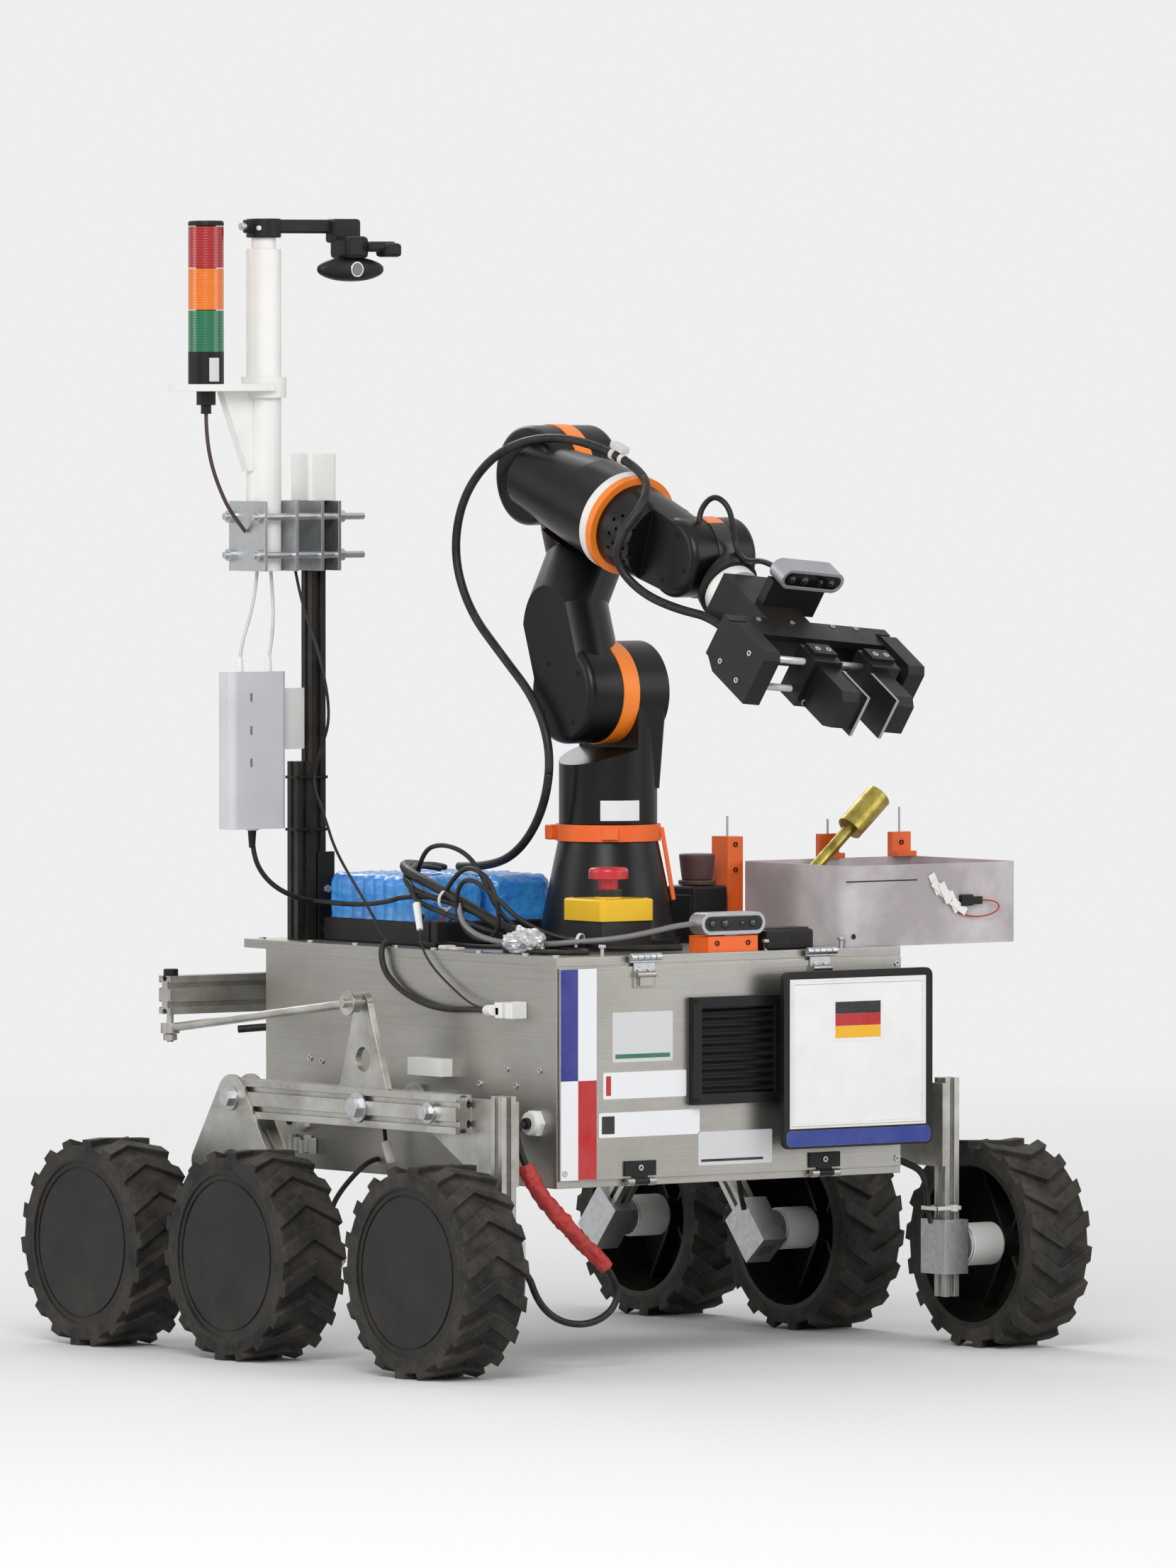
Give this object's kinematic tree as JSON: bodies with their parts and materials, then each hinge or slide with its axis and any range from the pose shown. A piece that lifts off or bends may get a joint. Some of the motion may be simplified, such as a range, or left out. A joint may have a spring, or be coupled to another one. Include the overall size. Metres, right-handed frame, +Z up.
{
  "type": "six-wheel planetary rover prototype",
  "caption": "Rocker-bogie rover prototype with a folded sheet body, lugged wheels, a jointed arm with a gripper, a sample tray and a mast with a signal tower.",
  "frame": {"origin": "on the ground under the middle of the bounding box", "axes": "+X forward, +Y to the vehicle's left, +Z up"},
  "size_m": [1.0002, 0.882, 1.29],
  "materials": {
    "bare_aluminium": "brushed sheet, fingerprints and light scratches",
    "profile_aluminium": "natural anodised extrusion",
    "zinc_steel": "galvanised",
    "black_plastic": "moulded, dusty",
    "arm_black": "moulded satin",
    "orange_plastic": "printed",
    "yellow_plastic": "moulded",
    "red_plastic": "moulded",
    "white_plastic": "moulded",
    "tray_plastic": "translucent",
    "blue_wrap": "shrink wrap",
    "camera_silver": "bead blasted",
    "brass": "turned",
    "black_profile": "black anodised",
    "lens_plastic": "clear coloured rings",
    "cord_black": "cable jacket",
    "tyre_rubber": "dusty tread",
    "hub_black": "printed disc",
    "plate_grey": "blank plate"
  },
  "bodies": {
    "chassis": {"chassis_tub": "bare_aluminium", "deck_lid": "bare_aluminium", "rocker_arms": "profile_aluminium", "bogie_arms": "profile_aluminium", "pivot_bolts": "zinc_steel", "wheel_motors": "zinc_steel", "differential": "profile_aluminium", "side_fittings": "white_plastic", "arm_base": "arm_black", "arm_base_ring": "orange_plastic", "estop_housing": "yellow_plastic", "estop_button": "red_plastic", "deck_camera": "camera_silver", "battery_packs": "blue_wrap", "sample_tray": "tray_plastic", "tray_brackets": "orange_plastic", "deck_modules": "black_plastic", "core_tube": "brass", "mast_post": "black_profile", "mast_prints": "white_plastic", "mast_clamp": "zinc_steel", "antenna_tube": "white_plastic", "mast_camera": "black_plastic", "lamp_base": "black_plastic", "lamp_lenses": "lens_plastic", "radio_box": "white_plastic", "radio_cable": "cord_black", "leg_cable": "cord_black", "arm_cable": "cord_black"},
    "door": {"door_panel": "bare_aluminium", "door_hinges": "black_plastic", "vent_grille": "black_plastic", "plate_holder": "black_plastic", "number_plate": "plate_grey"},
    "arm_turret": {"shoulder": "arm_black", "shoulder_ring": "orange_plastic"},
    "arm_upper": {"upper_arm": "arm_black", "elbow_ring": "orange_plastic"},
    "arm_elbow": {"elbow": "arm_black"},
    "arm_forearm": {"forearm_ring": "orange_plastic", "forearm": "arm_black", "wrist_ring": "orange_plastic"},
    "arm_wrist": {"wrist": "arm_black"},
    "hand": {"tool_flange": "white_plastic", "gripper_frame": "black_plastic", "hand_camera": "camera_silver"},
    "finger_right": {"jaw_right": "black_plastic"},
    "finger_left": {"jaw_left": "black_plastic"},
    "wheel_front_right": {"tyre_front_right": "tyre_rubber", "hub_front_right": "hub_black"},
    "wheel_front_left": {"tyre_front_left": "tyre_rubber", "hub_front_left": "hub_black"},
    "wheel_mid_right": {"tyre_mid_right": "tyre_rubber", "hub_mid_right": "hub_black"},
    "wheel_mid_left": {"tyre_mid_left": "tyre_rubber", "hub_mid_left": "hub_black"},
    "wheel_rear_right": {"tyre_rear_right": "tyre_rubber", "hub_rear_right": "hub_black"},
    "wheel_rear_left": {"tyre_rear_left": "tyre_rubber", "hub_rear_left": "hub_black"}
  },
  "joints": [
    {"name": "door_hinge", "type": "hinge", "parent": "chassis", "child": "door", "pos_m": [0.27242, 0, 0.21], "axis": [0, 1, 0], "range_deg": [0, 95]},
    {"name": "arm_1_turn", "type": "hinge", "parent": "chassis", "child": "arm_turret", "pos_m": [0.03792, 0, 0.601], "axis": [0, 0, 1], "range_deg": [-110, 110], "deforming": ["arm_cable"]},
    {"name": "arm_2_shoulder", "type": "hinge", "parent": "arm_turret", "child": "arm_upper", "pos_m": [0.03792, -0.01, 0.751], "axis": [0, 1, 0], "range_deg": [-45, 35]},
    {"name": "arm_3_elbow", "type": "hinge", "parent": "arm_upper", "child": "arm_elbow", "pos_m": [-0.0463, -0.01, 0.99698], "axis": [0, 1, 0], "range_deg": [-100, 3]},
    {"name": "arm_4_roll", "type": "hinge", "parent": "arm_elbow", "child": "arm_forearm", "pos_m": [-0.0463, -0.026, 0.99698], "axis": [0.9461, 0, -0.3239], "range_deg": [-170, 170]},
    {"name": "arm_5_wrist", "type": "hinge", "parent": "arm_forearm", "child": "arm_wrist", "pos_m": [0.21671, -0.001, 0.90693], "axis": [0, 1, 0], "range_deg": [-95, 60]},
    {"name": "arm_6_hand", "type": "hinge", "parent": "arm_wrist", "child": "hand", "pos_m": [0.28455, -0.007, 0.86454], "axis": [0.848, 0, -0.5299], "range_deg": [-170, 170]},
    {"name": "finger_right_slide", "type": "slide", "parent": "hand", "child": "finger_right", "axis": [0.0554, -0.9945, 0.0886], "range_m": [-0.017, 0.008]},
    {"name": "finger_left_slide", "type": "slide", "parent": "hand", "child": "finger_left", "axis": [-0.0554, 0.9945, -0.0886], "range_m": [-0.017, 0.008]},
    {"name": "wheel_front_right_spin", "type": "hinge", "parent": "chassis", "child": "wheel_front_right", "pos_m": [0.24992, -0.4, 0.11818], "axis": [0, 1, 0], "continuous": true},
    {"name": "wheel_front_left_spin", "type": "hinge", "parent": "chassis", "child": "wheel_front_left", "pos_m": [0.24992, 0.4, 0.11818], "axis": [0, 1, 0], "continuous": true},
    {"name": "wheel_mid_right_spin", "type": "hinge", "parent": "chassis", "child": "wheel_mid_right", "pos_m": [-0.09508, -0.4, 0.11818], "axis": [0, 1, 0], "continuous": true},
    {"name": "wheel_mid_left_spin", "type": "hinge", "parent": "chassis", "child": "wheel_mid_left", "pos_m": [-0.09508, 0.4, 0.11818], "axis": [0, 1, 0], "continuous": true},
    {"name": "wheel_rear_right_spin", "type": "hinge", "parent": "chassis", "child": "wheel_rear_right", "pos_m": [-0.38008, -0.4, 0.11818], "axis": [0, 1, 0], "continuous": true},
    {"name": "wheel_rear_left_spin", "type": "hinge", "parent": "chassis", "child": "wheel_rear_left", "pos_m": [-0.38008, 0.4, 0.11818], "axis": [0, 1, 0], "continuous": true}
  ],
  "couplings": [
    {"joint": "finger_left_slide", "follows": "finger_right_slide", "ratio": 1}
  ]
}
